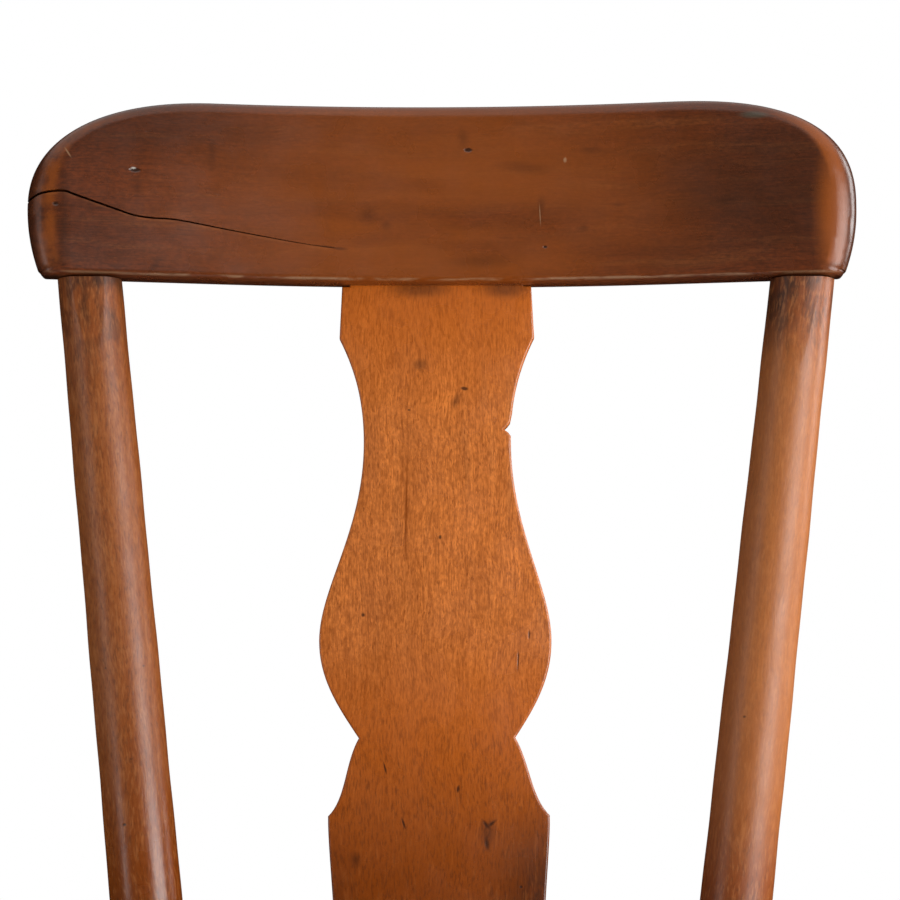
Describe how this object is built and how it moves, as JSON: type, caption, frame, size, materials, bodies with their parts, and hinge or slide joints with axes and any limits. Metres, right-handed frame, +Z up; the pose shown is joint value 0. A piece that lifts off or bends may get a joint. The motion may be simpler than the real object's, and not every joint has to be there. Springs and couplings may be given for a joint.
{
  "type": "splat-back plank-seat side chair",
  "caption": "Old varnished wooden side chair with a bent crest rail, vase-shaped splat, round posts, plank seat, splayed turned legs and stretchers, worn and split at one end of the crest.",
  "frame": {"origin": "on the floor under the middle of the chair's bounding box", "axes": "+Z up, the chair faces -Y, +X to the right of a viewer in front of it"},
  "size_m": [0.43, 0.4139, 0.8709],
  "materials": {
    "crest_finish": "dark red-brown old varnish on a fine-grained hardwood, satin, worn orange at its edges",
    "splat_finish": "orange-brown old varnish on a fine-grained hardwood, satin, darker at the foot",
    "post_finish": "orange-brown old varnish on turned hardwood, semi-gloss, darkened at the top",
    "seat_finish": "worn brown varnish on a hardwood plank, satin",
    "leg_finish": "worn brown varnish on turned hardwood, satin",
    "stretcher_finish": "worn brown varnish on turned hardwood, satin",
    "peg_wood": "end grain under old varnish",
    "wedge_wood": "end grain under old varnish"
  },
  "bodies": {
    "root": {"crest_rail": "crest_finish", "splat": "splat_finish", "seat": "seat_finish", "post_left": "post_finish", "leg_front_left": "leg_finish", "leg_back_left": "leg_finish", "stretcher_left": "stretcher_finish", "crest_peg_left": "peg_wood", "post_wedge_left": "wedge_wood", "leg_wedge_front_left": "wedge_wood", "leg_wedge_back_left": "wedge_wood", "post_right": "post_finish", "leg_front_right": "leg_finish", "leg_back_right": "leg_finish", "stretcher_right": "stretcher_finish", "crest_peg_right": "peg_wood", "post_wedge_right": "wedge_wood", "leg_wedge_front_right": "wedge_wood", "leg_wedge_back_right": "wedge_wood", "stretcher_front": "stretcher_finish", "stretcher_back": "stretcher_finish"}
  },
  "joints": []
}
